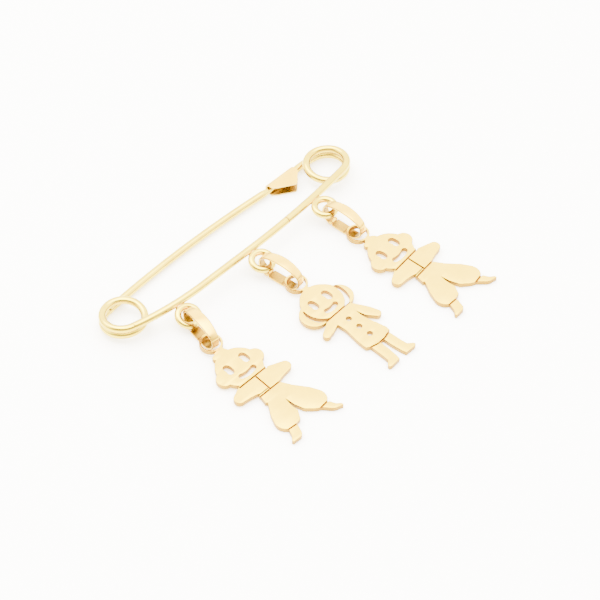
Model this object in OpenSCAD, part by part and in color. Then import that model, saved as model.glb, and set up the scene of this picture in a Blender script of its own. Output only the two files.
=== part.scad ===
// Gold charm brooch: a coiled wire safety pin whose bar carries three soldered
// rings, with a snap link on each ring and a flat cut-out figure on each link.
// It lies on a table. X runs along the pin, Y points to the needle, Z is up.

/* [Pin wire] */
// Distance between the centres of the two coils
coil_span = 44.13; // [42:0.01:46]
// Mean radius of both coils
coil_r = 3.19; // [3:0.01:3.4]
// Diameter of the pin's wire
wire_d = 1.22; // [1.1:0.01:1.24]
// Rise of the wire over one turn of a coil
coil_pitch = 1.27; // [1.26:0.01:1.4]
// Height of the needle's axis over the table
needle_z = 0.9; // [0.86:0.01:1]

/* [Bar] */
// Distance of the straight middle of the bar from the line between the coils
bar_out = 4.76; // [4.4:0.01:5.2]
// Slope at which the bar leaves the left coil, in degrees
bar_slope_left = 15; // [12:0.1:18]
// Slope at which the bar leaves the right coil, in degrees
bar_slope_right = 8.2; // [8:0.1:12]

/* [Needle] */
// Slope at which the needle leaves its coil, in degrees
needle_slope = 5.55; // [4:0.05:7]
// Radius of the bowed needle
needle_bow_r = 187; // [180:1:200]
// Length of the bowed part of the needle, up to its tapered tip
needle_len = 33.6; // [30:0.1:34.5]
// Length of the tapered tip
tip_len = 4.2; // [3:0.1:4.5]
// Diameter of the blunt end of the tip
tip_d = 0.26; // [0.2:0.01:0.4]

/* [Catch] */
// Left edge of the catch along the pin
catch_x0 = 12.5; // [12:0.05:13]
// Right edge of the catch along the pin
catch_x1 = 18.1; // [17:0.05:18.5]
// Outside of the catch's folded edge, from the line between the coils
catch_out = 4.15; // [4.1:0.05:4.4]
// Thickness of the catch's sheet
catch_sheet = 0.25; // [0.2:0.01:0.3]
// Height of the catch over the table
catch_h = 1.92; // [1.85:0.01:2]
// Slope of the wire stub that carries the catch, in degrees
stub_slope = 12; // [8:0.5:14]
// Radius of the bowed stub
stub_bow_r = 15; // [12:0.5:20]
// Length of the stub along its bow
stub_len = 6.4; // [5.6:0.1:7]

/* [Rings] */
// Diameter of the wire of the soldered rings
ring_wire_d = 1.02; // [1:0.01:1.1]
// Mean radius of the soldered rings
ring_r = 1.63; // [1.62:0.005:1.65]

/* [Snap links] */
// Outer length of a link
link_len = 7.75; // [7.65:0.05:7.8]
// Radius of the link's ends, seen from its side
link_end_r = 1.95; // [1.9:0.01:2]
// Rise of the arched upper side over the ends
link_arch = 0.45; // [0.35:0.01:0.5]
// Width of the link's band at its middle
link_w = 1.8; // [1.7:0.01:1.85]
// Width of the link's band at its ends
link_end_w = 1.2; // [1.1:0.01:1.25]
// Thickness of the link's band
link_t = 0.33; // [0.3:0.01:0.36]
// Free clearance between a gate and its link
gate_gap = 0.06; // [0.05:0.01:0.08]
// Diameter of the hinge barrel of a gate
barrel_d = 0.6; // [0.5:0.01:0.64]
// Diameter of the hinge pin of a gate
hinge_pin_d = 0.22; // [0.2:0.01:0.24]

/* [Figures] */
// Thickness of the cut-out plates
plate_t = 0.8; // [0.7:0.05:0.9]
// Tilt of a plate whose bail lies on the link's band, in degrees
plate_lift = 1.5; // [1.45:0.05:1.6]
// Width of the engraved lines
groove_w = 0.24; // [0.2:0.01:0.3]
// Depth of the engraved lines
groove_d = 0.3; // [0.2:0.01:0.4]
// Outer diameter of the bail ring on each head
bail_d = 3.6; // [3.4:0.05:3.8]
// Thickness of the bail ring's wall
bail_wall = 0.32; // [0.28:0.01:0.36]

/* [Hidden] */
$fn = 48;
// Sides of the bent wire, and its steps along each half turn
wire_sides = 20;
turn_steps = 18;

wire_gold = "#E6CF82";
plate_gold = "#F2D79C";
link_gold = "#EBC690";

// Distance from the line between the coils to the middle of the brooch
pin_y = 15.273;

// The wire leans by this angle in each half turn, so that it climbs one pitch a turn
lean = asin(coil_pitch / (4 * coil_r));
top_z = needle_z + 1.5 * coil_pitch;
// Height of the centre of half turn k, counted from the bar down
function half_turn_z(k) = top_z - coil_pitch * (0.25 + 0.5 * k);
function side_x(side) = side * coil_span / 2;

// Width of a link's hinge, and of the gap in it that takes the gate's barrel
hinge_w = 1.6;
barrel_w = 1.16;

// Bow of the bar next to a coil: distance from the coil's centre to the bow's centre
function bow_u(slope) = (bar_out - coil_r) / (1 - cos(slope));
// Distance of the bar's centre line from the coil line, in the bar's own plane
function bar_in_plane(x) =
    let (slope = x < 0 ? bar_slope_left : bar_slope_right,
         u = bow_u(slope),
         bow_x = coil_span / 2 - u * sin(slope),
         past = max(0, abs(x) - bow_x))
    u * cos(slope) - sqrt(pow(u + coil_r, 2) - past * past);
function bar_y(x) = bar_in_plane(x) * cos(lean);
function bar_z(x) = half_turn_z(0) - bar_in_plane(x) * sin(lean);

// Columns: place along the bar, distance from the bar's axis, droop in degrees
RINGS = [
    [-15.3, 2.69, 20],
    [0.05, 2.68, 12],
    [14.68, 2.66, 5]
];

// Columns: middle of the link in x and y, turn of its length in degrees, lean in degrees,
// rise of its ring end in degrees, start and end of the gate from the link's middle
LINKS = [
    [-15.77, -9.99, -98.4, 0.3, 3.1, -2, 0.4],
    [0.61, -10.62, -82, 2, 3.8, -2, 0.95],
    [15.07, -10.2, -85, 2.2, 3, -2, 0.8]
];

// Columns: place of the figure's middle in x and y, direction of its head in degrees,
// bail's offset to the side
BOYS = [
    [-16.39, -25.06, 90.0, 0.15],
    [16.88, -25.53, 96.6, -0.3]
];
GIRL = [1.47, -24.06, 92.0, 0.06];

// Points along an arc of a circle about c
function arc_points(c, r, from, to, steps = 12) =
    [for (i = [0 : steps]) let (a = from + (to - from) * i / steps)
        [c[0] + r * cos(a), c[1] + r * sin(a)]];

// A half turn of a coil lies in a leaning plane: even ones climb toward the bar
function lean_z(k, y) = (k % 2 == 0 ? -1 : 1) * y * sin(lean);

// Stations of a wire along an arc in the plane of half turn k: place, direction, radius
function arc_stations(k, c, r, from, to, steps, first = 0) =
    [for (i = [first : steps])
        let (a = from + (to - from) * i / steps,
             p = [c[0] + r * cos(a), c[1] + r * sin(a)],
             t = sign(to - from) * [-sin(a), cos(a)])
        [[p[0], p[1] * cos(lean), half_turn_z(k) + lean_z(k, p[1])],
         [t[0], t[1] * cos(lean), lean_z(k, t[1])],
         wire_d / 2]];

// The same stations on the other side of the brooch
function flipped(stations) =
    [for (s = stations) [[-s[0][0], s[0][1], s[0][2]], [-s[1][0], s[1][1], s[1][2]], s[2]]];

// The same stations, run through from the far end
function backward(stations) =
    [for (i = [len(stations) - 1 : -1 : 0]) [stations[i][0], -stations[i][1], stations[i][2]]];

// Bow of the bar beside the left coil, from the coil to the bar's straight middle
function bar_bow(slope) =
    let (u = bow_u(slope))
    arc_stations(0, [side_x(-1) + u * sin(slope), u * cos(slope)], u + coil_r, 270 - slope, 270, 6);

// One and a half turns of the left coil: in from the bar on top, out to the needle below
function coil_stations(bar_slope, end_slope, first = 0) =
    let (c = [side_x(-1), 0])
    concat(arc_stations(0, c, coil_r, 270 - bar_slope, 90, turn_steps, first),
           arc_stations(1, c, coil_r, 90, -90, turn_steps, 1),
           arc_stations(2, c, coil_r, 270, 90 + end_slope, turn_steps, 1));

// Centre of the bow in which a wire leaves the bottom of the left coil
function low_bow_centre(slope, r) = [side_x(-1) + (r - coil_r) * sin(slope), (coil_r - r) * cos(slope)];
function low_bow_turn(r, run) = run / r * 180 / PI;

module in_place() {
    translate([0, pin_y, 0]) children();
}

// Round wire through its stations
module wire(stations) {
    n = wire_sides;
    last = len(stations) - 1;
    points = [for (s = stations)
        let (side = cross(s[1], [0, 0, 1]) / norm(cross(s[1], [0, 0, 1])),
             rise = cross(side, s[1]))
        for (j = [0 : n - 1])
            s[0] + s[2] * (cos(j * 360 / n) * side + sin(j * 360 / n) * rise)];
    skin = [for (i = [0 : last - 1], j = [0 : n - 1])
        let (next = (j + 1) % n)
        [i * n + j, i * n + next, (i + 1) * n + next, (i + 1) * n + j]];
    start = [for (j = [n - 1 : -1 : 0]) j];
    end = [for (j = [0 : n - 1]) last * n + j];
    polyhedron(points, concat([start], skin, [end]));
}

// Bar, right coil and stub are one wire
module frame_wire() {
    slope_turn = low_bow_turn(stub_bow_r, stub_len);
    stub_path = arc_stations(2, low_bow_centre(stub_slope, stub_bow_r), stub_bow_r,
                             90 + stub_slope, 90 + stub_slope - slope_turn, 5, 1);
    in_place() wire(concat(
        bar_bow(bar_slope_left),
        backward(flipped(bar_bow(bar_slope_right))),
        flipped(coil_stations(bar_slope_right, stub_slope, 1)),
        flipped(stub_path)));
}

// Ring soldered to the bar, drooping away from it, with its bead of solder
module soldered_ring(row) {
    bead_d = 0.9;
    in_place() translate([row[0], bar_y(row[0]), bar_z(row[0])]) rotate([row[2], 0, 0]) {
        translate([0, -row[1], 0]) rotate_extrude() translate([ring_r, 0]) circle(d = ring_wire_d);
        translate([0, -(wire_d + row[1] - ring_r - ring_wire_d / 2) / 2, 0]) sphere(d = bead_d);
    }
}

// Leaf-shaped outline of the catch seen from above
module catch_leaf() {
    point_x = 15.95;
    polygon(concat(
        [[catch_x0, catch_out], [catch_x0, 2.75], [13.1, 2.15]],
        arc_points([point_x - 0.1, 1.0], 0.45, 225, 315),
        arc_points([catch_x1 - 0.9, 2.8], 0.9, -35, 0, 6),
        arc_points([catch_x1 - 0.8, catch_out - 0.8], 0.8, 0, 90, 8)));
}

// Folded sheet round the needle's tip, open toward the bar
module catch_sheet_fold() {
    outer_r = catch_h / 2;
    inner_r = outer_r - catch_sheet;
    fold_y = catch_out - outer_r;
    in_place() intersection() {
        linear_extrude(catch_h) catch_leaf();
        translate([catch_x0 - 1, fold_y, outer_r]) rotate([90, 0, 90])
            linear_extrude(catch_x1 - catch_x0 + 2) difference() {
                union() {
                    circle(r = outer_r);
                    translate([-fold_y, -outer_r]) square([fold_y, catch_h]);
                }
                circle(r = inner_r);
                translate([-fold_y - 1, -inner_r]) square([fold_y + 1, 2 * inner_r]);
            }
    }
}

module pin_frame() {
    color(wire_gold) union() {
        frame_wire();
        catch_sheet_fold();
        for (row = RINGS) soldered_ring(row);
    }
}

module spring_coil() {
    color(wire_gold) in_place() wire(coil_stations(bar_slope_left, needle_slope));
}

// Bowed needle with a tapered tip, running from the left coil into the catch
module needle() {
    c = low_bow_centre(needle_slope, needle_bow_r);
    first = 90 + needle_slope;
    last = first - low_bow_turn(needle_bow_r, needle_len);
    root_in = 0.3;
    color(wire_gold) in_place() translate([0, 0, half_turn_z(2)]) rotate([-lean, 0, 0]) {
        translate([c[0], c[1], 0]) rotate([0, 0, last])
            rotate_extrude(angle = first - last, $fn = 360) translate([needle_bow_r, 0])
                circle(d = wire_d, $fn = 48);
        translate([c[0] + needle_bow_r * cos(last), c[1] + needle_bow_r * sin(last), 0])
            rotate([0, 0, last - 90]) rotate([0, 90, 0]) translate([0, 0, -root_in])
                cylinder(d1 = wire_d - 0.01, d2 = tip_d, h = tip_len + root_in);
    }
}

// Arched oval of the link seen from its side, with its flat lower side at y = 0
module link_oval(inset) {
    half = link_len / 2 - link_end_r;
    far = (half * half + link_arch * link_arch) / (2 * link_arch);
    top = 2 * link_end_r + link_arch;
    r = link_end_r - inset;
    join = [half, far - link_arch] * (far + r) / far - [0, far - link_arch - link_end_r];
    for (s = [-1, 1]) translate([s * half, link_end_r]) circle(r = r, $fn = 96);
    polygon([[-half, inset], [half, inset], [half, link_end_r], join, [-join[0], join[1]], [-half, link_end_r]]);
    intersection() {
        translate([0, top - far - link_end_r]) circle(r = far + r, $fn = 240);
        translate([-join[0], link_end_r]) square([2 * join[0], link_end_r + link_arch]);
    }
}

// Upright shape of the given width across the band, drawn in the link's side view
module across_band(w) {
    rotate([90, 0, 0]) translate([0, 0, -w / 2]) linear_extrude(w) children();
}

// Everything within the band's outline seen from above, which is widest at its middle
module within_band() {
    bulge = (link_w - link_end_w) / 2;
    r = (pow(link_len / 2, 2) + bulge * bulge) / (2 * bulge);
    intersection() {
        children();
        translate([0, 0, -1]) linear_extrude(8) intersection() {
            translate([0, r - link_w / 2]) circle(r = r, $fn = 720);
            translate([0, link_w / 2 - r]) circle(r = r, $fn = 720);
        }
    }
}

// Puts a link, drawn standing at its own middle, in its place
module on_link(row) {
    half = link_len / 2 - link_end_r;
    low_end = half * sin(row[4]) + link_end_r * (1 - cos(row[4]));
    in_place() translate([row[0], row[1], low_end + link_w / 2 * sin(row[3])])
        rotate([0, 0, row[2]]) rotate([0, row[4], 0]) rotate([-row[3], 0, 0]) children();
}

// Link whose lower side is cut out for the gate, with the hinge's outer barrels and pin
module link(row) {
    hinge_x = row[5];
    barrel_z = barrel_d / 2;
    color(link_gold) on_link(row) {
        within_band() difference() {
            across_band(link_w + 1) difference() {
                link_oval(0);
                link_oval(link_t);
                translate([hinge_x, -1]) square([row[6] - hinge_x, 1 + link_end_r]);
            }
            across_band(barrel_w) translate([hinge_x, barrel_z]) circle(d = barrel_d + 2 * gate_gap);
        }
        difference() {
            across_band(hinge_w) translate([hinge_x, barrel_z]) circle(d = barrel_d);
            across_band(barrel_w) translate([hinge_x, barrel_z]) circle(d = barrel_d + 1);
        }
        across_band(hinge_w - 0.1) translate([hinge_x, barrel_z]) circle(d = hinge_pin_d);
    }
}

// Gate of a link: a strip with a barrel at its ring end, which swings up into the link
module gate(row) {
    hinge_x = row[5];
    inner_w = barrel_w - 2 * gate_gap;
    barrel_z = barrel_d / 2;
    strip_x = hinge_x + barrel_z + gate_gap + 0.04;
    color(link_gold) on_link(row) difference() {
        union() {
            within_band() across_band(link_w + 1) translate([strip_x, 0])
                square([row[6] - strip_x - gate_gap, link_t]);
            across_band(inner_w) translate([hinge_x, 0]) square([strip_x + 0.1 - hinge_x, link_t]);
            across_band(inner_w) translate([hinge_x, barrel_z]) circle(d = barrel_d);
        }
        across_band(link_w) translate([hinge_x, barrel_z]) circle(d = hinge_pin_d + gate_gap);
    }
}

// Curved slot of width w along an arc of radius r, whose middle lies at p and bulges toward a
module curved_slot(p, a, r, half, w) {
    c = [p[0] - r * cos(a), p[1] - r * sin(a)];
    ends = [for (s = [-1, 1]) [c[0] + r * cos(a + s * half), c[1] + r * sin(a + s * half)]];
    polygon(concat(
        arc_points(c, r + w / 2, a - half, a + half, 8),
        arc_points(ends[1], w / 2, a + half, a + half + 180, 8),
        arc_points(c, r - w / 2, a + half, a - half, 8),
        arc_points(ends[0], w / 2, a - half + 180, a - half + 360, 8)));
}

// Engraved line from a to b on the face of a plate
module groove(a, b) {
    run = b - a;
    translate([a[0], a[1], plate_t - groove_d]) rotate([0, 0, atan2(run[1], run[0])])
        translate([0, -groove_w / 2, 0]) cube([norm(run), groove_w, groove_d + 1]);
}

// Bail ring above a head, joined to the plate by a short neck
module bail(p, neck_y) {
    difference() {
        union() {
            translate([p[0], p[1], 0]) cylinder(d = bail_d, h = plate_t);
            translate([p[0] - 0.55, neck_y, 0]) cube([1.1, p[1] - bail_d / 2 - neck_y + 0.3, plate_t]);
        }
        translate([p[0], p[1], -1]) cylinder(d = bail_d - 2 * bail_wall, h = plate_t + 2);
    }
}

// Puts a figure drawn around its own middle in place: it lies on its feet, head lifted
module laid(row, foot_y) {
    in_place() translate([row[0], row[1], 0]) rotate([0, 0, row[2] - 90])
        translate([0, foot_y, 0]) rotate([plate_lift, 0, 0]) translate([0, -foot_y, 0])
            children();
}

// Middle between a boy's legs, and how much further in and up his left arm and leg are cut
leg_x = 0.3;
left_inset = [0.4, 0.42];
// Slots of the eyes: bow radius, half of the bow in degrees, width
eye_bow = 1.5;
eye_half = 17;
eye_w = 1.12;

module boy_head() {
    head_x = -0.15;
    translate([head_x, 6.2]) circle(r = 3.65);
    for (s = [-1, 1]) translate([head_x + s * 3.15, 6.05]) circle(r = 1.36);
    translate([-0.35, 9.35]) circle(r = 1.35);
    translate([-1.5, 9.85]) circle(r = 0.45);
    translate([-2.55, 3.3]) square([5.1, 1.2]);
}

module boy_arm() {
    translate([4.75, 1.52]) circle(r = 0.92);
    polygon([[0, 3.4], [2.9, 3.27], [5.07, 2.39], [4.75, 0.6], [3.5, 0.46], [2.5, 0.24], [1.97, 0], [0, 0]]);
}

// Wide trouser leg with its foot, whose sole is pared down by the given amount
// inner: the edge facing the other leg, from the ankle up to the crotch
module boy_leg(inner, pared = 0) {
    translate([3.08, -5.95]) circle(r = 1.78);
    polygon(concat([[1.3, -1], [2.3, -1.3], [4.05, -3.8], [4.75, -5.3],
                    [3.2, -7.7], [1.5 + pared / 2, -7.35 + pared / 2]], inner));
    polygon([[2.4, -7.4], [4.05, -7.4], [4.6, -8.65], [5.25, -9.25], [5.2, -9.6],
             [3.6 + pared, -9.65 + pared], [3.15 + pared, -9.3 + pared], [2.6 + pared / 2, -7.95]]);
}

module boy_outline() {
    boy_head();
    boy_arm();
    translate(left_inset) mirror([1, 0]) boy_arm();
    translate([leg_x, 0]) boy_leg([[0.6, -6.0], [0.15, -4.4], [0.05, -2.8]], 0.4);
    translate([leg_x, 0] + left_inset) mirror([1, 0])
        boy_leg([[0.6, -6.0], [0.65, -5.1], [0.6, -4.4], [0.35, -3.22]]);
    polygon([[-1.97, 0.3], [-1.97, 0], [-2.3, -1.3], [0, -3.2], [leg_x + 0.05, -2.8],
             [2.8, -1.5], [1.97, 0], [1.97, 0.3]]);
}

module boy_face() {
    curved_slot([1.67, 6.93], 0, eye_bow, eye_half, eye_w);
    curved_slot([-1.67, 6.85], 0, eye_bow, eye_half, eye_w);
    curved_slot([0, 4.42], -90, 3.6, 20, 0.92);
}

module boy(row) {
    foot_y = -9.65;
    color(plate_gold) laid(row, foot_y) {
        difference() {
            linear_extrude(plate_t) boy_outline();
            translate([0, 0, -1]) linear_extrude(plate_t + 2) boy_face();
            groove([-2.7, 3.3], [2.7, 3.3]);
            groove([0.2, 3.3], [0.05, 0]);
            groove([-2.2, 0], [2.2, 0]);
            groove([leg_x + 2.3, -7.68], [leg_x + 4.3, -7.5]);
            translate(left_inset) groove([leg_x - 2.3, -7.68], [leg_x - 4.3, -7.5]);
        }
        bail([row[3], 12.42], 10);
    }
}

module girl_head() {
    translate([-0.1, 5.2]) circle(r = 3.45);
    translate([-0.05, 4.75]) circle(r = 3.72);
    translate([-2.9, 4.3]) circle(r = 2.32);
    translate([2.55, 4.05]) circle(r = 2.22);
    translate([-2.55, 1.7]) square([5, 1.2]);
}

// Crescent openings between the face and the hair
module girl_hair_slots() {
    intersection() {
        difference() {
            translate([-0.05, 4.75]) circle(r = 3.72);
            translate([-0.1, 5.2]) circle(r = 3.45);
        }
        translate([-5, 2.17]) square([10, 3.7]);
    }
}

module girl_body() {
    polygon([[-2.6, 2.05], [2.45, 2.05], [2.0, 0.4], [1.9, -1], [2.03, -2.1], [2.43, -3.64], [2.73, -5.2],
             [2.6, -5.9], [2.0, -6.2], [0.9, -6.4], [-0.6, -6.4], [-1.7, -6.05], [-2.4, -5.6],
             [-2.45, -5.1], [-2.32, -3.64], [-2.03, -2.1], [-1.88, -1], [-1.95, 0.3]]);
}

module girl_arms() {
    translate([-4.5, 0.32]) circle(r = 0.65);
    polygon([[-1.9, 2.05], [-2.6, 2.0], [-4.0, 1.28], [-4.75, 0.92], [-4.7, -0.3], [-3.4, -0.1], [-1.9, 0.45]]);
    translate([3.86, -2.38]) circle(r = 0.63);
    polygon([[2.0, 2.05], [2.5, 1.95], [2.9, 1.4], [3.4, 0.47], [4.04, -0.82], [4.47, -2.2],
             [3.4, -2.8], [2.35, -1.36], [2.1, -0.28], [1.95, 0.44]]);
}

module girl_leg() {
    polygon([[0.42, -6], [2.0, -6], [2.1, -8.5], [2.2, -9.5], [2.95, -10.15], [3.0, -10.5],
             [2.65, -10.68], [0.8, -10.6], [0.62, -9.9], [0.42, -8]]);
}

module girl_outline() {
    girl_head();
    girl_body();
    girl_arms();
    translate([0.2, 0]) for (s = [0, 1]) mirror([s, 0]) girl_leg();
}

module girl_openings() {
    button_d = 0.9;
    curved_slot([1.44, 5.54], 0, eye_bow, eye_half, eye_w);
    curved_slot([-1.51, 5.64], 0, eye_bow, eye_half, eye_w);
    curved_slot([-0.05, 3.27], -90, 3, 19, 0.86);
    for (y = [0, -2.1, -4.2]) translate([0.06, y]) circle(d = button_d);
    girl_hair_slots();
}

module girl() {
    foot_y = -10.68;
    color(plate_gold) laid(GIRL, foot_y) {
        difference() {
            linear_extrude(plate_t) girl_outline();
            translate([0, 0, -1]) linear_extrude(plate_t + 2) girl_openings();
            groove([-2.7, 2.05], [2.6, 2.05]);
            groove([-2.1, -6.0], [-0.6, -6.4]);
            groove([-0.6, -6.4], [0.9, -6.4]);
            groove([0.9, -6.4], [2.5, -6.0]);
        }
        bail([GIRL[3], 10.58], 8.3);
    }
}

pin_frame();
spring_coil();
needle();
link(LINKS[0]);  // link_1
link(LINKS[1]);  // link_2
link(LINKS[2]);  // link_3
gate(LINKS[0]);  // gate_1
gate(LINKS[1]);  // gate_2
gate(LINKS[2]);  // gate_3
boy(BOYS[0]);  // boy_1
girl();
boy(BOYS[1]);  // boy_2
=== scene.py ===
"""Gold charm brooch on a pale table: a coiled wire pin with three snap links and three flat figures."""
from math import asin, atan2, cos, degrees, radians, sin, sqrt, tau

import bmesh
import bpy
from mathutils import Matrix, Vector
from mathutils.geometry import tessellate_polygon
from mathutils.kdtree import KDTree


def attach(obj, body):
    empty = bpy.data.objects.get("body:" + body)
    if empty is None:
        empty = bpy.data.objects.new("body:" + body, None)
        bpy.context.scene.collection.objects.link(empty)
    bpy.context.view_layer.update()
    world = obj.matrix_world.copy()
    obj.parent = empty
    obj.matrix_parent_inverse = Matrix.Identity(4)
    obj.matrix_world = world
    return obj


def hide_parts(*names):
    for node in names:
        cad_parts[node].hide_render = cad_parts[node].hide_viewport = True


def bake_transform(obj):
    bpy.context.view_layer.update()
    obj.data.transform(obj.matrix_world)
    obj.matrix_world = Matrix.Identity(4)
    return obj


MM = 0.001

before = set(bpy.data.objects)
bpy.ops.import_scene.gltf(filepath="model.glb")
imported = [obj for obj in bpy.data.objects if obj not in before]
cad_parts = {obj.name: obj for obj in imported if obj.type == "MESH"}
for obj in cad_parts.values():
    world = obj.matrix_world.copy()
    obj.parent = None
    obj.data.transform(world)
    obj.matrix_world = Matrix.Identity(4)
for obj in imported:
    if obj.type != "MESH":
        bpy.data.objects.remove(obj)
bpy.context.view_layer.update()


# Colours and nodes

def srgb(hex_code):
    """An sRGB hex colour as the linear values that a shader takes."""
    parts = [int(hex_code[i:i + 2], 16) / 255 for i in (1, 3, 5)]
    linear = [p / 12.92 if p <= 0.04045 else ((p + 0.055) / 1.055) ** 2.4 for p in parts]
    return (*linear, 1.0)


def empty_tree(owner):
    """The node tree of a new material or world, with nothing in it."""
    owner.use_nodes = True
    owner.node_tree.nodes.clear()
    return owner.node_tree


def add_node(tree, kind, settings=None, links=None):
    """Adds a node, sets its properties and sockets, and links other nodes' outputs to its inputs."""
    made = tree.nodes.new(kind)
    for name, value in (settings or {}).items():
        if isinstance(name, str) and hasattr(made, name) and name not in made.inputs:
            setattr(made, name, value)
        else:
            made.inputs[name].default_value = value
    for name, (source, output) in (links or {}).items():
        tree.links.new(source.outputs[output], made.inputs[name])
    return made


def colour_steps(tree, stops, factor):
    """A ramp through hex colours, driven by another node's output."""
    ramp = add_node(tree, "ShaderNodeValToRGB", links={"Fac": factor})
    band = ramp.color_ramp
    while len(band.elements) < len(stops):
        band.elements.new(0.5)
    for element, (place, hex_code) in zip(band.elements, stops):
        element.position = place
        element.color = srgb(hex_code)
    return ramp


# Gold

# The lines that a buff leaves are about 0.01 mm wide, too fine to show, so they are drawn 0.12 to 0.35 mm
# wide. A saw's strokes are drawn out along the plate's thickness. A patch of even tone is TONE_PATCH_MM wide.
TONE_PATCH_MM = 2.4
EVEN_GRAIN, UPRIGHT_STROKES = (1, 1, 1), (1, 1, 0.12)


def gold_material(name, tones, roughness, scratch_mm, scratch_depth, ripple_mm, ripple_depth,
                  grain=EVEN_GRAIN):
    """Gold in tones from its deepest to its palest, with fine scratches and the slow ripple that hand work
    leaves. roughness is the range over the scratches, and widths and depths are in millimetres. grain draws
    the scratches out along the axis where it is small."""
    made = bpy.data.materials.new(name)
    tree = empty_tree(made)
    place = add_node(tree, "ShaderNodeTexCoord")
    laid = add_node(tree, "ShaderNodeMapping", {"Scale": grain}, {"Vector": (place, "Object")})
    patches = add_node(tree, "ShaderNodeTexNoise",
                       {"Scale": 1 / (TONE_PATCH_MM * MM), "Detail": 3.0, "Roughness": 0.55},
                       {"Vector": (place, "Object")})
    scratches = add_node(tree, "ShaderNodeTexNoise",
                         {"Scale": 1 / (scratch_mm * MM), "Detail": 5.0, "Roughness": 0.7},
                         {"Vector": (laid, "Vector")})
    ripple = add_node(tree, "ShaderNodeTexNoise",
                      {"Scale": 1 / (ripple_mm * MM), "Detail": 1.0, "Roughness": 0.4},
                      {"Vector": (place, "Object")})
    deep, middle, pale = tones
    colour = colour_steps(tree, [(0.3, deep), (0.52, middle), (0.75, pale)], (patches, "Fac"))
    sheen = add_node(tree, "ShaderNodeMapRange",
                     {"From Min": 0.35, "From Max": 0.7, "To Min": roughness[0], "To Max": roughness[1]},
                     {"Value": (scratches, "Fac")})
    soft_bump = add_node(tree, "ShaderNodeBump", {"Strength": 1.0, "Distance": ripple_depth * MM},
                         {"Height": (ripple, "Fac")})
    fine_bump = add_node(tree, "ShaderNodeBump", {"Strength": 1.0, "Distance": scratch_depth * MM},
                         {"Height": (scratches, "Fac"), "Normal": (soft_bump, "Normal")})
    metal = add_node(tree, "ShaderNodeBsdfPrincipled", {"Metallic": 1.0},
                     {"Base Color": (colour, "Color"), "Roughness": (sheen, "Result"),
                      "Normal": (fine_bump, "Normal")})
    add_node(tree, "ShaderNodeOutputMaterial", links={"Surface": (metal, "BSDF")})
    return made


# Yellow gold wire, drawn through a die and buffed: the greenish, lemon tone of wire gold, with a sharp shine.
drawn_wire_gold = gold_material(
    "drawn_wire_gold", ["#C4AA1C", "#CCB424", "#D4BE30"], (0.08, 0.16),
    scratch_mm=0.35, scratch_depth=0.0006, ripple_mm=2.2, ripple_depth=0.01)
# Rolled gold sheet, sawn out and polished on the face: bright, almost cream where it faces the light.
rolled_sheet_gold = gold_material(
    "rolled_sheet_gold", ["#E0BE12", "#E7C516", "#ECCB20"], (0.14, 0.24),
    scratch_mm=0.3, scratch_depth=0.0008, ripple_mm=3.0, ripple_depth=0.012)
# Stamped link strip, buffed on its outer side: as bright as the sheet and a little smoother.
stamped_strip_gold = gold_material(
    "stamped_strip_gold", ["#E0B81C", "#E7C022", "#ECC62C"], (0.12, 0.22),
    scratch_mm=0.3, scratch_depth=0.0007, ripple_mm=1.5, ripple_depth=0.008)
# Hard gold solder, flowed with a torch and barely cleaned: paler, pinker and duller than the wire it joins.
flowed_solder_gold = gold_material(
    "flowed_solder_gold", ["#C9A46E", "#DDBB88", "#EBD0A4"], (0.24, 0.4),
    scratch_mm=0.12, scratch_depth=0.004, ripple_mm=0.6, ripple_depth=0.02)
# Inner side of the link strip, which no buff reaches and is only pickled clean: duller, and darkened to a
# deep yellow as painted shade for the inside of the link.
unpolished_inner_gold = gold_material(
    "unpolished_inner_gold", ["#8E6C10", "#9A7816", "#A88624"], (0.26, 0.4),
    scratch_mm=0.2, scratch_depth=0.002, ripple_mm=1.0, ripple_depth=0.012)
# Inner side of the folded catch, open to the light but never buffed: paler than the links' inner side.
folded_inner_gold = gold_material(
    "folded_inner_gold", ["#B89A3C", "#C4A648", "#D0B254"], (0.26, 0.4),
    scratch_mm=0.2, scratch_depth=0.002, ripple_mm=1.0, ripple_depth=0.012)
# Walls left by the saw and only touched with a file, with upright strokes: deeper and browner than the face,
# which is painted shade on the plates' sides. The plates' rubbed face edges and the links' rubbed outer
# corners take this painted shade too.
sawn_wall_gold = gold_material(
    "sawn_wall_gold", ["#947004", "#9C7806", "#A88412"], (0.4, 0.55),
    scratch_mm=0.16, scratch_depth=0.003, ripple_mm=1.2, ripple_depth=0.012, grain=UPRIGHT_STROKES)
# Walls of the pierced openings, which no file reaches: rougher than the outer walls, and a dull brown-gold
# that is painted shade inside the openings.
pierced_wall_gold = gold_material(
    "pierced_wall_gold", ["#9A7204", "#A67C04", "#B0860C"], (0.5, 0.65),
    scratch_mm=0.16, scratch_depth=0.003, ripple_mm=1.2, ripple_depth=0.012, grain=UPRIGHT_STROKES)
# Bottom of an engraved line, bright cut but out of the light: a reddish brown that is painted shade in the
# groove. The bar's seam has it too, as the dark line of its solder.
engraved_line_gold = gold_material(
    "engraved_line_gold", ["#7E5210", "#8A5E14", "#98691C"], (0.22, 0.36),
    scratch_mm=0.2, scratch_depth=0.002, ripple_mm=1.0, ripple_depth=0.01)


# Pieces and tables

def new_piece(name, mesh, materials):
    """A new object of a bmesh, with its materials in their order."""
    data = bpy.data.meshes.new(name)
    mesh.normal_update()
    mesh.to_mesh(data)
    mesh.free()
    made = bpy.data.objects.new(name, data)
    bpy.context.scene.collection.objects.link(made)
    for material in materials:
        data.materials.append(material)
    return made


def finish_piece(made, body, nodes=()):
    """Gives a piece its body and the solids that it stands in for."""
    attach(made, body)
    if nodes:
        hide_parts(*nodes)


def named_rows(columns, *rows):
    """The rows of a table, each with its values under the columns' names."""
    return [dict(zip(columns, row)) for row in rows]


# Pin

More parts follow.
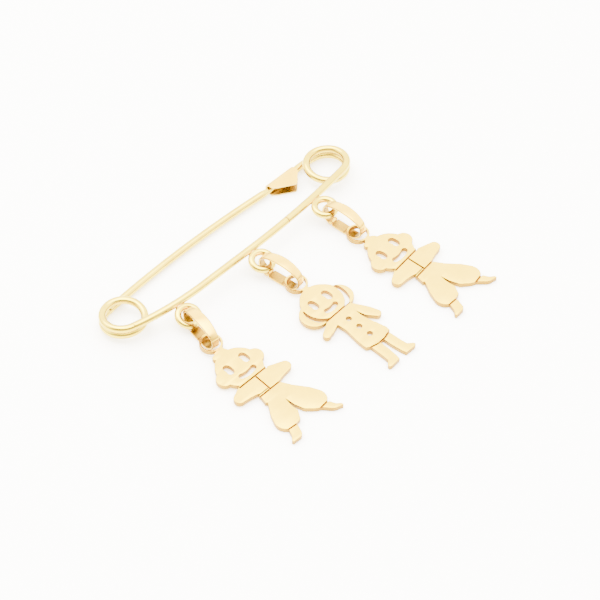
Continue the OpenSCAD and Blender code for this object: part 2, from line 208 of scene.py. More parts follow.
# Millimetres and degrees, as the solids have them. The line through both coils' axes lies at PIN_Y, the
# bar runs BAR_OUT in front of it, and NEEDLE_Z is the height of the needle's middle.
PIN_Y, NEEDLE_Z = 15.273, 0.9
WIRE_D, COIL_R, COIL_SPAN, PITCH = 1.22, 3.19, 44.13, 1.27
BAR_OUT, SLOPE_LEFT, SLOPE_RIGHT = 4.76, 15, 8.2
NEEDLE_SLOPE, NEEDLE_BOW_R, NEEDLE_LEN, TIP_LEN, TIP_D = 5.55, 187, 33.6, 4.2, 0.26
STUB_SLOPE, STUB_BOW_R, STUB_LEN = 12, 15, 6.4
LEAN = asin(PITCH / (4 * COIL_R))
TOP_Z = NEEDLE_Z + 1.5 * PITCH
SIDE_X = COIL_SPAN / 2
HALF_TURN_STEPS, BOW_STEPS, STUB_STEPS, NEEDLE_STEPS, TIP_STEPS = 64, 40, 24, 60, 12


def half_turn_z(k):
    """Height of half turn k of a coil where it crosses the coil's middle: 0 is the top one, with the bar."""
    return TOP_Z - PITCH * (0.25 + 0.5 * k)


def bow_offset(slope):
    """How far the middle of the bar's bow lies from the coil's axis, for the bow's slope at the coil."""
    return (BAR_OUT - COIL_R) / (1 - cos(radians(slope)))


def bar_place(x):
    """Middle of the bar's wire at x along the pin."""
    slope = SLOPE_LEFT if x < 0 else SLOPE_RIGHT
    offset = bow_offset(slope)
    past = max(0, abs(x) - (SIDE_X - offset * sin(radians(slope))))
    out = offset * cos(radians(slope)) - sqrt((offset + COIL_R) ** 2 - past * past)
    return Vector((x, out * cos(LEAN), half_turn_z(0) - out * sin(LEAN)))


# Wire

# A station is its place, its direction and its radius, in the pin's own frame. Each run is worked out for
# the left coil, and the right side takes it flipped.

def arc(k, centre, r, start, stop, steps, first=0):
    """Stations along an arc in the leaning plane of half turn k."""
    stations = []
    for i in range(first, steps + 1):
        a = radians(start + (stop - start) * i / steps)
        x, y = centre[0] + r * cos(a), centre[1] + r * sin(a)
        turn = 1 if stop > start else -1
        dx, dy = -turn * sin(a), turn * cos(a)
        rise = (-1 if k % 2 == 0 else 1) * sin(LEAN)
        stations.append((Vector((x, y * cos(LEAN), half_turn_z(k) + rise * y)),
                         Vector((dx, dy * cos(LEAN), rise * dy)), WIRE_D / 2))
    return stations


def flipped(stations):
    """The stations on the other side of the pin."""
    return [(Vector((-p.x, p.y, p.z)), Vector((-d.x, d.y, d.z)), r) for p, d, r in stations]


def backward(stations):
    """The stations from the last to the first."""
    return [(p, -d, r) for p, d, r in reversed(stations)]


def bar_bow(slope):
    """The bow that takes the bar out from its coil to where it runs straight."""
    offset = bow_offset(slope)
    centre = (-SIDE_X + offset * sin(radians(slope)), offset * cos(radians(slope)))
    return arc(0, centre, offset + COIL_R, 270 - slope, 270, BOW_STEPS)


def coil(bar_slope, end_slope, first=0):
    """One and a half turns, from the bar's slope down to the slope of what leaves the coil below."""
    axis = (-SIDE_X, 0)
    return (arc(0, axis, COIL_R, 270 - bar_slope, 90, HALF_TURN_STEPS, first)
            + arc(1, axis, COIL_R, 90, -90, HALF_TURN_STEPS, 1)
            + arc(2, axis, COIL_R, 270, 90 + end_slope, HALF_TURN_STEPS, 1))


def low_bow(slope, r, length, steps, first=0):
    """The shallow bow in which the needle or the stub leaves its coil."""
    centre = (-SIDE_X + (r - COIL_R) * sin(radians(slope)), (COIL_R - r) * cos(radians(slope)))
    return arc(2, centre, r, 90 + slope, 90 + slope - degrees(length / r), steps, first)


def drawn_wire(name, stations, sides=40, material=drawn_wire_gold, closed=False):
    """Round wire swept through its stations. A closed one ends where it starts, so it has no end faces."""
    mesh = bmesh.new()
    pin_place = Vector((0, PIN_Y, 0))
    hoops = []
    for place, way, radius in stations:
        side = way.cross(Vector((0, 0, 1))).normalized()
        up = side.cross(way).normalized()
        turns = [tau * j / sides for j in range(sides)]
        hoops.append([mesh.verts.new((place + radius * (cos(a) * side + sin(a) * up) + pin_place) * MM)
                      for a in turns])
    for a, b in zip(hoops, hoops[1:]):
        for j in range(sides):
            n = (j + 1) % sides
            mesh.faces.new((a[j], a[n], b[n], b[j])).smooth = True
    if not closed:
        mesh.faces.new(reversed(hoops[0]))
        mesh.faces.new(hoops[-1])
    return new_piece(name, mesh, [material])


# Bar, right coil and stub are one length of wire
stub = low_bow(STUB_SLOPE, STUB_BOW_R, STUB_LEN, STUB_STEPS, 1)
bar_wire = drawn_wire("bar_wire", bar_bow(SLOPE_LEFT) + backward(flipped(bar_bow(SLOPE_RIGHT)))
                      + flipped(coil(SLOPE_RIGHT, STUB_SLOPE, 1)) + flipped(stub))
finish_piece(bar_wire, "brooch", ["pin_frame"])

# Where the bar's wire was joined, the solder left a thin line round it
SEAM_X, SEAM_W, SEAM_PROUD = 8.38, 0.16, 0.006
seam_ends = [bar_place(SEAM_X - SEAM_W / 2), bar_place(SEAM_X + SEAM_W / 2)]
seam_way = (seam_ends[1] - seam_ends[0]).normalized()
seam_stations = [(end, seam_way, WIRE_D / 2 + SEAM_PROUD) for end in seam_ends]
bar_seam = drawn_wire("bar_seam", seam_stations, material=engraved_line_gold)
finish_piece(bar_seam, "brooch")

# The left coil springs when the needle is pressed in. SPRING_TOP_Z and SPRING_LOW_Z are two heights on its
# axis, which nothing here uses: the coil is built only at rest. Its root is a little thinner and runs on
# inside the bar's wire.
ROOT_GIVE, SPRING_TOP_Z, SPRING_LOW_Z = 0.015, 2.18, 1.51
root = [(place, -way, radius - ROOT_GIVE) for place, way, radius in reversed(bar_bow(SLOPE_LEFT)[1:3])]
spring = drawn_wire("spring_coil_wire", root + coil(SLOPE_LEFT, NEEDLE_SLOPE))
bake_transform(spring)
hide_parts("spring_coil")

# Needle, with its tip drawn down to a blunt point
needle_run = low_bow(NEEDLE_SLOPE, NEEDLE_BOW_R, NEEDLE_LEN, NEEDLE_STEPS)
end_place, end_way, _ = needle_run[-1]
tip_stations = []
for i in range(1, TIP_STEPS + 1):
    t = i / TIP_STEPS
    tip_stations.append((end_place + end_way * TIP_LEN * t, end_way, (WIRE_D + (TIP_D - WIRE_D) * t) / 2))
needle_wire = drawn_wire("needle_wire", needle_run + tip_stations)
finish_piece(needle_wire, "needle", ["needle"])


# Soldered rings

# Each has its place along the bar, how far its middle lies out from the bar, its droop in degrees, and how
# far its bead of solder has run. Their wire is thicker than in the solids, as the photo shows it.
RING_R, RING_WIRE_D, RING_STEPS, RING_SIDES = 1.63, 1.1, 96, 32
BEAD_R, BEAD_SWELL = 0.45, 1.15
RINGS = named_rows(("x", "out", "droop", "bead_stretch"),
                   (-15.3, 2.69, 20, 1.9),
                   (0.05, 2.68, 12, 1.45),
                   (14.68, 2.66, 5, 1.35))


def soldered_ring(number, ring):
    """A ring in front of the bar, and the bead of solder where its wire meets the bar's."""
    tilt = Matrix.Rotation(radians(ring["droop"]), 3, "X")
    base = bar_place(ring["x"])
    stations = []
    for i in range(RING_STEPS + 1):
        a = tau * i / RING_STEPS
        spot = Vector((RING_R * sin(a), RING_R * cos(a), 0)) + Vector((0, -ring["out"], 0))
        stations.append((base + tilt @ spot, tilt @ Vector((cos(a), -sin(a), 0)), RING_WIRE_D / 2))
    hoop = drawn_wire(f"ring_{number}", stations, RING_SIDES, closed=True)
    finish_piece(hoop, "brooch")

    mesh = bmesh.new()
    bmesh.ops.create_icosphere(mesh, subdivisions=4, radius=BEAD_R * MM)
    for v in mesh.verts:
        v.co.x *= ring["bead_stretch"]
        v.co.y *= BEAD_SWELL
    for face in mesh.faces:
        face.smooth = True
    bead = new_piece(f"solder_bead_{number}", mesh, [flowed_solder_gold])
    bead_out = (WIRE_D + ring["out"] - RING_R - RING_WIRE_D / 2) / 2
    bead.location = (base + tilt @ Vector((0, -bead_out, 0)) + Vector((0, PIN_Y, 0))) * MM
    finish_piece(bead, "brooch")


for number, ring in enumerate(RINGS, 1):
    soldered_ring(number, ring)


# Catch

# Sheet folded round the tip and cut to a leaf, with y from the line through the coils' axes. It is drawn from
# POINT_END, just inside the leaf's point, and takes its width at the fold from FOLD_END.
CATCH_LEFT, CATCH_RIGHT, CATCH_OUT, CATCH_H, SHEET_T = 12.5, 18.1, 4.15, 1.92, 0.25
POINT_X, POINT_Y, POINT_R, HIP_Y, HIP_R, FOLD_CORNER_R = 15.85, 1.0, 0.45, 2.8, 0.9, 0.8
POINT_END, FOLD_END = 0.56, 4.13
LEAF_STEPS, FOLD_STEP, ACROSS_STEPS = 24, 10, 28


def arc_points(centre, r, start, stop, steps):
    """Points along an arc, with its angles in degrees."""
    return [(centre[0] + r * cos(radians(start + (stop - start) * i / steps)),
             centre[1] + r * sin(radians(start + (stop - start) * i / steps))) for i in range(steps + 1)]


def leaf_outline():
    """The catch from above: from the fold's left end to the point, round it, and back along the right."""
    return ([(CATCH_LEFT, CATCH_OUT), (CATCH_LEFT, 2.75), (13.1, 2.15)]
            + arc_points((POINT_X, POINT_Y), POINT_R, 225, 315, 12)
            + arc_points((CATCH_RIGHT - HIP_R, HIP_Y), HIP_R, -35, 0, 6)
            + arc_points((CATCH_RIGHT - FOLD_CORNER_R, CATCH_OUT - FOLD_CORNER_R), FOLD_CORNER_R, 0, 90, 8))


def leaf_ends(outline, y):
    """Where the leaf begins and ends along the pin, at a place y across it."""
    hits = [x0 + (x1 - x0) * (y - y0) / (y1 - y0)
            for (x0, y0), (x1, y1) in zip(outline, outline[1:] + outline[:1])
            if (y0 - y) * (y1 - y) <= 0 and y0 != y1]
    return min(hits), max(hits)


def fold_section():
    """The middle of the sheet as y and height: along the top, round the fold and back below."""
    r = (CATCH_H - SHEET_T) / 2
    fold_y = CATCH_OUT - CATCH_H / 2
    leaf_y = [POINT_END + (fold_y - POINT_END) * i / LEAF_STEPS for i in range(LEAF_STEPS)]
    turns = [radians(a) for a in range(0, 181, FOLD_STEP)]
    return ([(y, CATCH_H / 2 + r) for y in leaf_y]
            + [(fold_y + r * sin(a), CATCH_H / 2 + r * cos(a)) for a in turns]
            + [(y, CATCH_H / 2 - r) for y in reversed(leaf_y)])


def build_catch():
    mesh = bmesh.new()
    outline = leaf_outline()
    rows = []
    for y, z in fold_section():
        x0, x1 = leaf_ends(outline, min(y, FOLD_END))
        spots = [Vector((x0 + (x1 - x0) * i / ACROSS_STEPS, y + PIN_Y, z)) for i in range(ACROSS_STEPS + 1)]
        rows.append([mesh.verts.new(spot * MM) for spot in spots])
    for a, b in zip(rows, rows[1:]):
        for i in range(ACROSS_STEPS):
            mesh.faces.new((a[i], b[i], b[i + 1], a[i + 1])).smooth = True
    made = new_piece("catch_sheet", mesh, [folded_inner_gold, stamped_strip_gold])
    thick = made.modifiers.new("sheet_thickness", "SOLIDIFY")
    thick.thickness = SHEET_T * MM
    thick.offset = 0
    thick.material_offset = 1
    soft = made.modifiers.new("rubbed_edges", "BEVEL")
    soft.width = 0.06 * MM
    soft.segments = 3
    soft.limit_method = "ANGLE"
    soft.angle_limit = radians(50)
    return made


catch = build_catch()
finish_piece(catch, "brooch")


# Snap links

# A stamped strip bent to an arched oval, drawn standing at its own middle, X along it, and widest there.
# At the ring end the strip stops at EAR_TURN, and two ears go on to the hinge, at HINGE_TURN.
LINK_LEN, LINK_END_R, LINK_ARCH, LINK_W, LINK_END_W, LINK_T = 7.75, 1.95, 0.45, 1.8, 1.2, 0.33
HINGE_X, HINGE_W, HINGE_PIN_D, BARREL_D, BARREL_W, GATE_GAP = -2, 1.6, 0.22, 0.6, 1.16, 0.06
EAR_TURN, HINGE_TURN = 256.5, 267.0
CROWN, RUBBED_EDGE, RUBBED_EAR, DOME, CORNER_STEPS = 0.03, 0.09, 0.06, 0.05, 4
# The gate's strip starts STRIP_CLEAR past its gap, and its tongue runs from the barrel into the strip
STRIP_CLEAR, TONGUE_IN, TONGUE_LAP = 0.04, 0.1, 0.2
# A hair that keeps faces of one piece out of one plane, and the share of the solid's width that is drawn
HAIR, STRIP_SHARE = 0.01, 0.999
STRIP_GOLDS = [stamped_strip_gold, unpolished_inner_gold, sawn_wall_gold]
# Where each link's middle lies, how far it is turned, leans to its side and rises to its bail end in
# degrees, and where its gate ends
LINKS = named_rows(("x", "y", "turn", "lean", "rise", "gate_end"),
                   (-15.77, -9.99, -98.4, 0.3, 3.1, 0.4),
                   (0.61, -10.62, -82, 2, 3.8, 0.95),
                   (15.07, -10.2, -85, 2.2, 3, 0.8))
STRIP_R = LINK_END_R - LINK_T / 2
END_X = LINK_LEN / 2 - LINK_END_R
ARCH_R = (END_X ** 2 + LINK_ARCH ** 2) / (2 * LINK_ARCH)
ARCH_Z = LINK_END_R + LINK_ARCH - ARCH_R
ARCH_TURN = degrees(atan2(END_X, ARCH_R - LINK_ARCH))


def link_place(link):
    """Where a link stands, leans and lies."""
    turn, lean, rise = (radians(link[way]) for way in ("turn", "lean", "rise"))
    low_end = END_X * sin(rise) + LINK_END_R * (1 - cos(rise))
    return (Matrix.Translation((link["x"], link["y"] + PIN_Y, low_end + LINK_W / 2 * sin(lean)))
            @ Matrix.Rotation(turn, 4, "Z") @ Matrix.Rotation(rise, 4, "Y") @ Matrix.Rotation(-lean, 4, "X"))


def band_edges(x):
    """The strip's two edges at x."""
    bulge = (LINK_W - LINK_END_W) / 2
    r = ((LINK_LEN / 2) ** 2 + bulge ** 2) / (2 * bulge)
    half = (sqrt(r * r - x * x) - (r - LINK_W / 2)) * STRIP_SHARE
    return -half, half


def bend(centre_x, centre_z, r, start, stop, steps):
    """Middle line of the strip along an arc: place and outward direction, both in the link's side view."""
    turns = [radians(start + (stop - start) * i / steps) for i in range(steps + 1)]
    return [(centre_x + r * cos(a), centre_z + r * sin(a), cos(a), sin(a)) for a in turns]


def level(x0, x1, steps):
    """Middle line of the strip along the flat lower side."""
    return [(x0 + (x1 - x0) * i / steps, LINK_T / 2, 0, -1) for i in range(steps + 1)]


def strip_path(first_x, last_angle):
    """From first_x on the flat lower side round the bail end and over the arch, down the ring end."""
    return (level(first_x, END_X, 10)[:-1]
            + bend(END_X, LINK_END_R, STRIP_R, -90, 90 - ARCH_TURN, 40)[:-1]
            + bend(0, ARCH_Z, ARCH_R + STRIP_R, 90 - ARCH_TURN, 90 + ARCH_TURN, 24)[:-1]
            + bend(-END_X, LINK_END_R, STRIP_R, 90 + ARCH_TURN, last_angle, 36))


def strip_section(half, corner):
    """Points round the strip, across it and out from its middle line: over the outer side and back inside.
    With each is the place in STRIP_GOLDS of the face that starts there: 0 outside, 1 inside, darkened
    as painted shade, 2 on the two rubbed outer corners, which take the walls' painted shade."""
    section = []
    for across, out, start in ((1, 1, 0), (-1, 1, 90), (-1, -1, 180), (1, -1, 270)):
        for i in range(CORNER_STEPS + 1):
            a = radians(start + 90 * i / CORNER_STEPS)
            inside = out < 0 and (i >= CORNER_STEPS / 2 if across < 0 else i < CORNER_STEPS / 2)
            look = 1 if inside else (2 if out > 0 and i < CORNER_STEPS else 0)
            section.append((across * (half - corner) + corner * cos(a),
                            out * (LINK_T / 2 - corner) + corner * sin(a), look))
        if (across, out) == (1, 1):
            section += [(t * (half - corner), LINK_T / 2, 0) for t in (0.8, 0.5, 0.2, -0.2, -0.5, -0.8)]
        if (across, out) == (-1, -1):
            section += [(t * (half - corner), -LINK_T / 2, 1) for t in (-0.8, 0, 0.8)]
    return section


def sweep_strip(mesh, path, edges, place, crown=CROWN, corner=RUBBED_EDGE):
    """Sweeps the strip's section along a path. edges gives its two edges across the link for a place x. The
    outer side is crowned a little and its edges are rubbed round."""
    hoops = []
    for x, z, nx, nz in path:
        y0, y1 = edges(x)
        middle, half = (y0 + y1) / 2, (y1 - y0) / 2
        section = strip_section(half, corner)
        hoop = []
        for across, out, _ in section:
            out -= crown * (across / half) ** 2 if out > 0 else 0
            spot = Vector((x + nx * out, middle + across, z + nz * out))
            hoop.append(mesh.verts.new((place @ spot) * MM))
        hoops.append(hoop)
    for a, b in zip(hoops, hoops[1:]):
        for j, (_, _, look) in enumerate(section):
            n = (j + 1) % len(section)
            face = mesh.faces.new((a[j], a[n], b[n], b[j]))
            face.smooth = True
            face.material_index = look
    mesh.faces.new(reversed(hoops[0]))
    mesh.faces.new(hoops[-1])


def turned_pin(mesh, r, y0, y1, place, sides=28):
    """Barrel or rivet across the link at its hinge, with its ends domed."""
    profile = [(y0, 0), (y0, r - DOME), (y0 + DOME * 0.3, r - DOME * 0.3), (y0 + DOME, r),
               (y1 - DOME, r), (y1 - DOME * 0.3, r - DOME * 0.3), (y1, r - DOME), (y1, 0)]
    hoops = []
    for y, out in profile:
        turns = [tau * j / sides for j in range(sides)] if out else [0]
        spots = [Vector((HINGE_X + out * cos(a), y, BARREL_D / 2 + out * sin(a))) for a in turns]
        hoops.append([mesh.verts.new((place @ spot) * MM) for spot in spots])
    for a, b in zip(hoops, hoops[1:]):
        for j in range(sides):
            n = (j + 1) % sides
            if len(a) == 1:
                corners = (a[0], b[n], b[j])
            elif len(b) == 1:
                corners = (a[j], a[n], b[0])
            else:
                corners = (a[j], a[n], b[n], b[j])
            mesh.faces.new(corners).smooth = True


def build_link(number, link):
    """The strip with its two ears at the hinge, and the hinge's pin."""
    place = link_place(link)
    mesh = bmesh.new()
    sweep_strip(mesh, strip_path(link["gate_end"] + HAIR, EAR_TURN), band_edges, place)
    foot = bend(-END_X, LINK_END_R, STRIP_R, EAR_TURN - 1, HINGE_TURN, 4)
    for side in (-1, 1):
        ear = sorted((side * (BARREL_W / 2 + HAIR), side * (HINGE_W / 2 - HAIR)))
        sweep_strip(mesh, foot, lambda x: ear, place, crown=0, corner=RUBBED_EAR)
        turned_pin(mesh, BARREL_D / 2, *ear, place)
    pin_end = HINGE_W / 2 - DOME
    turned_pin(mesh, HINGE_PIN_D / 2, -pin_end, pin_end, place)
    bmesh.ops.recalc_face_normals(mesh, faces=mesh.faces)
    made = new_piece(f"snap_link_{number}", mesh, STRIP_GOLDS)
    finish_piece(made, "brooch", [f"link_{number}"])


def build_gate(number, link):
    """The gate: flat strip up to where the link's own begins, its barrel, and the tongue between the two."""
    place = link_place(link)
    inner = BARREL_W / 2 - GATE_GAP
    strip_x = HINGE_X + BARREL_D / 2 + GATE_GAP + STRIP_CLEAR
    mesh = bmesh.new()
    sweep_strip(mesh, level(strip_x, link["gate_end"] - GATE_GAP, 12), band_edges, place, crown=0)
    sweep_strip(mesh, level(HINGE_X + TONGUE_IN, strip_x + TONGUE_LAP, 3), lambda x: (-inner, inner), place,
                crown=0, corner=RUBBED_EAR)
    turned_pin(mesh, (BARREL_D - HAIR) / 2, -inner, inner, place)
    bmesh.ops.recalc_face_normals(mesh, faces=mesh.faces)
    made = new_piece(f"link_gate_{number}", mesh, STRIP_GOLDS)
    finish_piece(made, f"gate_{number}", [f"gate_{number}"])


for number, link in enumerate(LINKS, 1):
    build_link(number, link)
    build_gate(number, link)


# Figures

# Sawn from sheet, with rubbed edges and engraved lines. Each has its place on the table, the way its head
# points in degrees, and where its feet end in its own millimetres. Its head is lifted by PLATE_LIFT degrees.
# An edge is rubbed less where less than EDGE_ROOM is left to the next opening.
PLATE_T, PLATE_LIFT = 0.8, 1.5
FACE_EDGE, BACK_EDGE, EDGE_ROOM = 0.035, 0.03, 0.3
PLATE_GOLDS = [rolled_sheet_gold, sawn_wall_gold, engraved_line_gold, pierced_wall_gold]
FIGURES = named_rows(("node", "x", "y", "head_way", "foot_y"),
                     ("boy_1", -16.39, -25.06, 90.0, -9.65),
                     ("girl", 1.47, -24.06, 92.0, -10.68),
                     ("boy_2", 16.88, -25.53, 96.6, -9.65))

# Engraved lines in the figure's own millimetres: a boy's chin, shirt front, waist and two shoes, and the
# girl's chin and hem. LEG_X is the middle between a boy's legs. His left shoe is cut further in and up.
LEG_X, LEFT_IN, LEFT_UP = 0.3, 0.4, 0.42
BOY_LINES = [((-3.05, 3.3), (2.7, 3.3)),
             ((0.2, 3.3), (0.05, 0)),
             ((-2.2, 0), (2.2, 0)),
             ((LEG_X + 2.3, -7.68), (LEG_X + 4.3, -7.5)),
             ((LEFT_IN + LEG_X - 2.3, LEFT_UP - 7.68), (LEFT_IN + LEG_X - 4.3, LEFT_UP - 7.5))]
GIRL_LINES = [((-2.7, 2.05), (2.6, 2.05)),
              ((-2.1, -6.0), (-0.6, -6.4)),
              ((-0.6, -6.4), (0.9, -6.4)),
              ((0.9, -6.4), (2.5, -6.0))]
# The graver's own section, in widths to each side of its line and millimetres above the face
GROOVE_W = 0.3
GRAVER_SECTION = [(-0.62, 0.3), (-0.5, -0.02), (-0.42, -0.16), (-0.25, -0.27), (0, -0.3), (0.25, -0.27),
                  (0.42, -0.16), (0.5, -0.02), (0.62, 0.3)]

# The girl's two hair slots are the openings that lie just round her face, and the solids have them too narrow
GIRL_FACE, GIRL_FACE_R, GIRL_CHIN_Y = (-0.1, 5.2), 3.45, 2.3
SLOT_NEAREST, SLOT_FURTHEST, SLOT_GROWTH = 3.3, 4.4, 0.3


def figure_place(figure):
    """A figure lies on its feet, head lifted by the link's band."""
    foot = Matrix.Translation((0, figure["foot_y"], 0))
    return (Matrix.Translation((figure["x"], figure["y"] + PIN_Y, 0))
            @ Matrix.Rotation(radians(figure["head_way"] - 90), 4, "Z") @ foot
            @ Matrix.Rotation(radians(PLATE_LIFT), 4, "X") @ foot.inverted())


def distance(a, b):
    return sqrt((b[0] - a[0]) ** 2 + (b[1] - a[1]) ** 2)


def area(loop):
    """What a loop encloses, below zero if it runs clockwise."""
    return sum(a[0] * b[1] - b[0] * a[1] for a, b in zip(loop, loop[1:] + loop[:1])) / 2


def plate_loops(node, place):
    """Outline and openings of a solid plate's lower face, in the figure's own millimetres."""
    back = place.inverted()
    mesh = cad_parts[node].data
    spots = [back @ (v.co / MM) for v in mesh.vertices]
    key = [(round(p.x, 4), round(p.y, 4)) for p in spots]
    edges = set()
    for face in mesh.polygons:
        if all(abs(spots[i].z) < 0.003 for i in face.vertices):
            ring = [key[i] for i in face.vertices]
            for a, b in zip(ring, ring[1:] + ring[:1]):
                if (b, a) in edges:
                    edges.remove((b, a))
                elif a != b:
                    edges.add((a, b))
    ahead = dict(edges)
    loops = []
    while ahead:
        start, here = ahead.popitem()
        loop = [start]
        while here != start:
            loop.append(here)
            here = ahead.pop(here)
        loops.append(loop)
    return loops


def filed_round(loop, spacing=0.1, passes=30, sharp_turn=33, crisp_reach=0.7, least_give=0.12):
    """The loop in even steps, with its shallow corners filed away and its sharp ones only rubbed."""
    corners = []
    for i, (x, y) in enumerate(loop):
        (ax, ay), (bx, by) = loop[i - 1], loop[(i + 1) % len(loop)]
        turn = degrees(atan2(by - y, bx - x) - atan2(y - ay, x - ax))
        if abs((turn + 180) % 360 - 180) > sharp_turn:
            corners.append((x, y))
    points = []
    for a, b in zip(loop, loop[1:] + loop[:1]):
        steps = max(1, round(distance(a, b) / spacing))
        points += [(a[0] + (b[0] - a[0]) * i / steps, a[1] + (b[1] - a[1]) * i / steps) for i in range(steps)]
    give = []
    for point in points:
        near = min((distance(corner, point) for corner in corners), default=crisp_reach)
        give.append(min(1, max(least_give, near / crisp_reach)))
    # Each pass that draws the points together is followed by one that lets them out, so that no loop shrinks
    for k in range(2 * passes):
        pull = 0.5 if k % 2 == 0 else -0.51
        points = [(x + pull * g * ((points[i - 1][0] + points[(i + 1) % len(points)][0]) / 2 - x),
                   y + pull * g * ((points[i - 1][1] + points[(i + 1) % len(points)][1]) / 2 - y))
                  for i, ((x, y), g) in enumerate(zip(points, give))]
    return points


def hair_slot_opened(loop):
    """The side of a hair slot that lies away from the girl's face, moved out into the hair above the chin.
    The move sets in over 0.2 mm across the slot and over 0.6 mm up from the chin, so that the slot stays
    smooth."""
    opened = []
    for x, y in loop:
        r = distance(GIRL_FACE, (x, y))
        outer_side = min(1, max(0, r - GIRL_FACE_R - 0.05) / 0.2)
        above_chin = min(1, max(0, y - GIRL_CHIN_Y) / 0.6)
        grown = (r + SLOT_GROWTH * outer_side * above_chin) / r
        opened.append((GIRL_FACE[0] + (x - GIRL_FACE[0]) * grown, GIRL_FACE[1] + (y - GIRL_FACE[1]) * grown))
    return opened


def shaped_loops(figure, place):
    """The plate's outline and then its openings, filed, each running with the metal on its left."""
    loops = sorted(plate_loops(figure["node"], place), key=lambda loop: -abs(area(loop)))
    shaped = []
    for k, loop in enumerate(loops):
        if (area(loop) > 0) != (k == 0):
            loop = loop[::-1]
        loop = filed_round(loop)
        beside_face = all(SLOT_NEAREST < distance(GIRL_FACE, point) < SLOT_FURTHEST for point in loop)
        if figure["node"] == "girl" and k and beside_face:
            loop = hair_slot_opened(loop)
        shaped.append(loop)
    return shaped


def room_beside(loops):
    """For each point of each loop, the share of a rubbed edge that fits before the next opening."""
    shares = []
    for k, loop in enumerate(loops):
        others = [Vector((x, y, 0)) for n, other in enumerate(loops) if n != k for x, y in other]
        tree = KDTree(len(others))
        for i, spot in enumerate(others):
            tree.insert(spot, i)
        tree.balance()
        shares.append([min(1, tree.find((x, y, 0))[2] / EDGE_ROOM) for x, y in loop])
    return shares


def inset(loop, shares, depth):
    """The loop moved toward the metal."""
    moved = []
    for i, (x, y) in enumerate(loop):
        a, b = loop[i - 1], loop[(i + 1) % len(loop)]
        step = depth * shares[i] / (distance(a, b) or 1)
        moved.append((x - (b[1] - a[1]) * step, y + (b[0] - a[0]) * step))
    return moved


def plate_profile():
    """How far the skin lies inside the outline, and its height, from the back to the face."""
    back = [(BACK_EDGE, 0), (BACK_EDGE * 0.3, BACK_EDGE * 0.3), (0, BACK_EDGE)]
    turns = [radians(a) for a in range(0, 91, 15)]
    return back + [(FACE_EDGE * (1 - cos(a)), PLATE_T - FACE_EDGE + FACE_EDGE * sin(a)) for a in turns]


def engraver(name, lines, place):
    """Solid of the metal that the graver takes out along each line, wider at the face than at the bottom."""
    mesh = bmesh.new()
    for a, b in lines:
        run = distance(a, b)
        dx, dy = (b[0] - a[0]) / run, (b[1] - a[1]) / run
        hoops = []
        for x, y in (a, b):
            spots = [Vector((x - dy * side * GROOVE_W, y + dx * side * GROOVE_W, PLATE_T + up))
                     for side, up in GRAVER_SECTION]
            hoops.append([mesh.verts.new((place @ spot) * MM) for spot in spots])
        count = len(GRAVER_SECTION)
        for j in range(count):
            n = (j + 1) % count
            mesh.faces.new((hoops[0][j], hoops[1][j], hoops[1][n], hoops[0][n]))
        mesh.faces.new(hoops[0])
        mesh.faces.new(reversed(hoops[1]))
    bmesh.ops.recalc_face_normals(mesh, faces=mesh.faces)
    # The cut faces of each groove take the reddish brown of painted shade
    for face in mesh.faces:
        face.material_index = PLATE_GOLDS.index(engraved_line_gold)
    return new_piece(name, mesh, PLATE_GOLDS)


def plate_skin(name, loops, place):
    """A plate before it is engraved: walls with rubbed edges round its loops, and its back and face."""
    mesh = bmesh.new()
    profile = plate_profile()
    low_rings, top_rings = [], []
    for k, (loop, shares) in enumerate(zip(loops, room_beside(loops))):
        # Walls and their rubbed edges take a darker, browner gold, which is painted shade
        wall = PLATE_GOLDS.index(pierced_wall_gold if k else sawn_wall_gold)
        rings = [[mesh.verts.new((place @ Vector((x, y, z))) * MM) for x, y in inset(loop, shares, depth)]
                 for depth, z in profile]
        low_rings.append(rings[0])
        top_rings.append(rings[-1])
        for a, b in zip(rings, rings[1:]):
            for j in range(len(a)):
                n = (j + 1) % len(a)
                face = mesh.faces.new((a[j], a[n], b[n], b[j]))
                face.smooth = True
                face.material_index = wall
    for rings, flip in ((low_rings, True), (top_rings, False)):
        flat = [v for ring in rings for v in ring]
        for triangle in tessellate_polygon([[v.co / MM for v in ring] for ring in rings]):
            corners = [flat[i] for i in (reversed(triangle) if flip else triangle)]
            mesh.faces.new(corners).smooth = True
    bmesh.ops.recalc_face_normals(mesh, faces=mesh.faces)
    return new_piece(name, mesh, PLATE_GOLDS)


def engrave(made, graver):
    """Takes the graver's solid out of a plate for good, and then the graver away."""
    cut = made.modifiers.new("engraving", "BOOLEAN")
    cut.operation = "DIFFERENCE"
    cut.solver = "EXACT"
    cut.use_self = True
    cut.object = graver
    bpy.context.view_layer.update()
    carved = bpy.data.meshes.new_from_object(made.evaluated_get(bpy.context.evaluated_depsgraph_get()))
    made.modifiers.clear()
    made.data = carved
    bpy.data.objects.remove(graver)


def build_figure(figure):
    place = figure_place(figure)
    name = figure["node"] + "_plate"
    made = plate_skin(name, shaped_loops(figure, place), place)
    lines = GIRL_LINES if figure["node"] == "girl" else BOY_LINES
    engrave(made, engraver(name + "_graver", lines, place))
    for face in made.data.polygons:
        face.use_smooth = True
    made.data.set_sharp_from_angle(angle=radians(32))
    shade = made.modifiers.new("even_shading", "WEIGHTED_NORMAL")
    shade.keep_sharp = True
    finish_piece(made, "brooch", [figure["node"]])


for figure in FIGURES:
    build_figure(figure)


# Table, light and camera

TABLE_HALF, ACRYLIC_GRAIN_MM, ACRYLIC_GLOW = 0.9, 10 / 9, 1.6
TENT_GLOW, FRONT_WAY, FRONT_START, FRONT_FULL = 24.0, (-0.72, -0.69, 0), 0.1, 0.55
CAMERA_PLACE, CAMERA_AIM = (-180.86, -173.812, 284.1), (-0.17, -0.302, 0)


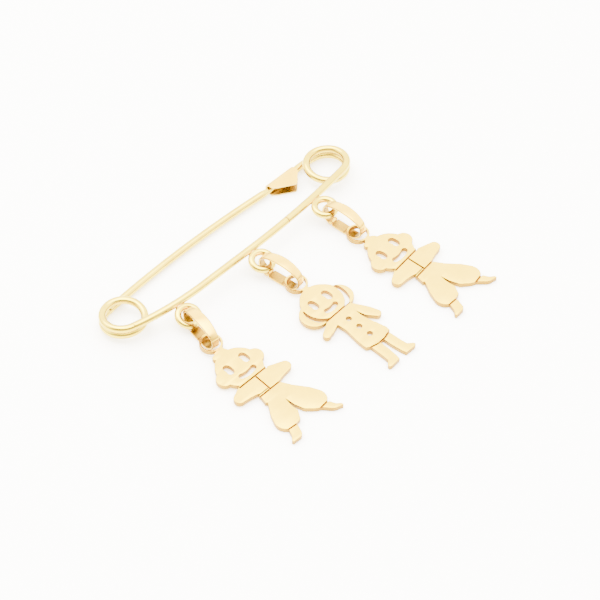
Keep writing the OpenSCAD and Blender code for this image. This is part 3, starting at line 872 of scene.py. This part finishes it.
def acrylic_material(name):
    """Acrylic sheet with a matt face, lit from below: an even white that takes only faint shadows. Its grain
    is too fine to show, and is drawn about a millimetre coarse."""
    made = bpy.data.materials.new(name)
    tree = empty_tree(made)
    place = add_node(tree, "ShaderNodeTexCoord")
    grain = add_node(tree, "ShaderNodeTexNoise", {"Scale": 1 / (ACRYLIC_GRAIN_MM * MM), "Detail": 3.0},
                     {"Vector": (place, "Object")})
    tone = colour_steps(tree, [(0.3, "#FCFCFB"), (0.7, "#FFFFFF")], (grain, "Fac"))
    acrylic = add_node(tree, "ShaderNodeBsdfPrincipled",
                       {"Roughness": 0.9, "Emission Strength": ACRYLIC_GLOW},
                       {"Base Color": (tone, "Color"), "Emission Color": (tone, "Color")})
    add_node(tree, "ShaderNodeOutputMaterial", links={"Surface": (acrylic, "BSDF")})
    return made


def pale_table():
    mesh = bmesh.new()
    bmesh.ops.create_grid(mesh, x_segments=8, y_segments=8, size=TABLE_HALF)
    made = new_piece("pale_table", mesh, [acrylic_material("backlit_white_acrylic")])


pale_table()


def light_tent():
    """Light tent: brightest overhead, dimmer in front, with the dark gap that the camera looks through."""
    world = bpy.data.worlds.new("light_tent")
    tree = empty_tree(world)
    way = add_node(tree, "ShaderNodeTexCoord")
    height = add_node(tree, "ShaderNodeSeparateXYZ", links={"Vector": (way, "Generated")})
    toward = add_node(tree, "ShaderNodeVectorMath", {"operation": "DOT_PRODUCT", 1: FRONT_WAY},
                      {0: (way, "Generated")})
    back = colour_steps(tree, [(0.0, "#5A5348"), (0.15, "#7A7468"), (0.35, "#B6B2AA"), (0.8, "#ACA79E"),
                               (0.93, "#F8F6F2"), (1.0, "#FFFFFF")], (height, "Z"))
    front = colour_steps(tree, [(0.0, "#5A544A"), (0.52, "#6A6458"), (0.6, "#221E16"), (0.73, "#221E16"),
                                (0.84, "#8A857A"), (0.93, "#F8F6F2"), (1.0, "#FFFFFF")], (height, "Z"))
    side = add_node(tree, "ShaderNodeMapRange", {"From Min": FRONT_START, "From Max": FRONT_FULL},
                    {"Value": (toward, "Value")})
    # The mix node has its colour sockets at 6 and 7, and its colour output at 2
    mixed = add_node(tree, "ShaderNodeMix", {"data_type": "RGBA"},
                     {0: (side, "Result"), 6: (back, "Color"), 7: (front, "Color")})
    glow = add_node(tree, "ShaderNodeBackground", {"Strength": TENT_GLOW}, {"Color": (mixed, 2)})
    add_node(tree, "ShaderNodeOutputWorld", links={"Surface": (glow, "Background")})
    bpy.context.scene.world = world


light_tent()


def aimed(name, data, place, aim):
    """A lamp or a camera at its place, turned to what it looks at."""
    made = bpy.data.objects.new(name, data)
    made.location = place
    made.rotation_euler = (Vector(aim) - Vector(place)).to_track_quat("-Z", "Y").to_euler()
    bpy.context.scene.collection.objects.link(made)
    return made


# A wide soft lamp above and behind, for the long highlights on the wire
key_lamp = bpy.data.lights.new("key_box", "AREA")
key_lamp.shape = "DISK"
key_lamp.size = 0.45
key_lamp.energy = 6.0
aimed("key_box", key_lamp, (-0.1, 0.35, 0.55), (0, 0, 0))

view = bpy.data.cameras.new("photo_view")
view.lens = 150
view.sensor_width = 36
view.clip_start = 0.01
bpy.context.scene.camera = aimed("photo_view", view, Vector(CAMERA_PLACE) * MM, Vector(CAMERA_AIM) * MM)

bpy.context.view_layer.update()
